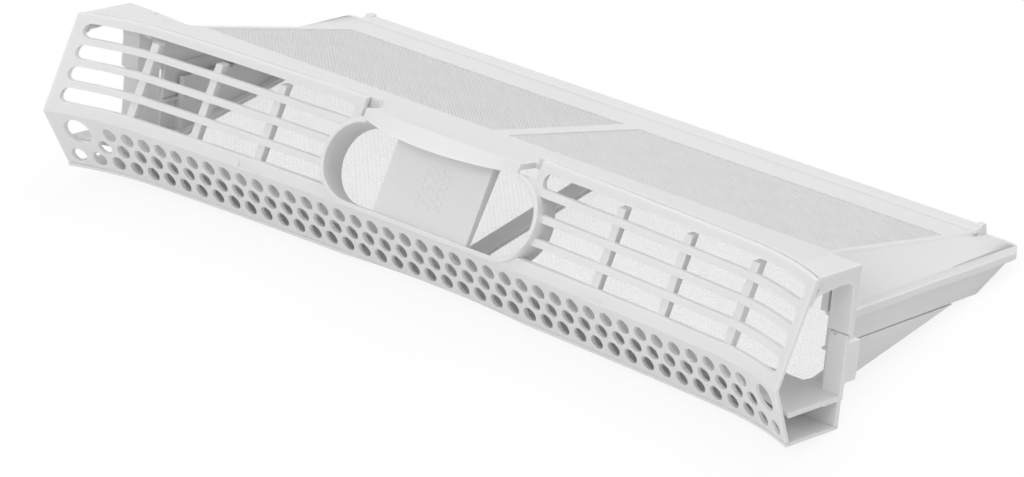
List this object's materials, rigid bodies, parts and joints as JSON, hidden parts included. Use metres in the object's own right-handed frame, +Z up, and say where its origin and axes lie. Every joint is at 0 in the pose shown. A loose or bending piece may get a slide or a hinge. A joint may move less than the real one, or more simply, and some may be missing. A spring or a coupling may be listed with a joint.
{
  "type": "tumble dryer lint filter",
  "caption": "Wide wedge-shaped tumble dryer lint filter with a bowed slotted front, a finger recess and a hinged mesh lid over a mesh tray.",
  "frame": {"origin": "centre of the bounding box at floor level, with the filter lying on its base edge and the heels of its side skirts", "axes": "+X along the filter's length, to the right as seen from its front; +Y from the front to the rear nose; +Z up"},
  "size_m": [0.32, 0.1388, 0.0587],
  "materials": {
    "shell": "smooth white moulded plastic",
    "mesh": "fine white woven mesh"
  },
  "bodies": {
    "tray": {"lower_half": "shell", "front_cover": "shell", "lower_mesh_left": "mesh", "lower_mesh_right": "mesh"},
    "lid": {"upper_half": "shell", "upper_mesh_left": "mesh", "upper_mesh_right": "mesh"}
  },
  "joints": [
    {"name": "lid_hinge", "type": "hinge", "parent": "tray", "child": "lid", "pos_m": [0, 0.06478, 0.00625], "axis": [-1, 0, 0], "range_deg": [0, 100]}
  ]
}
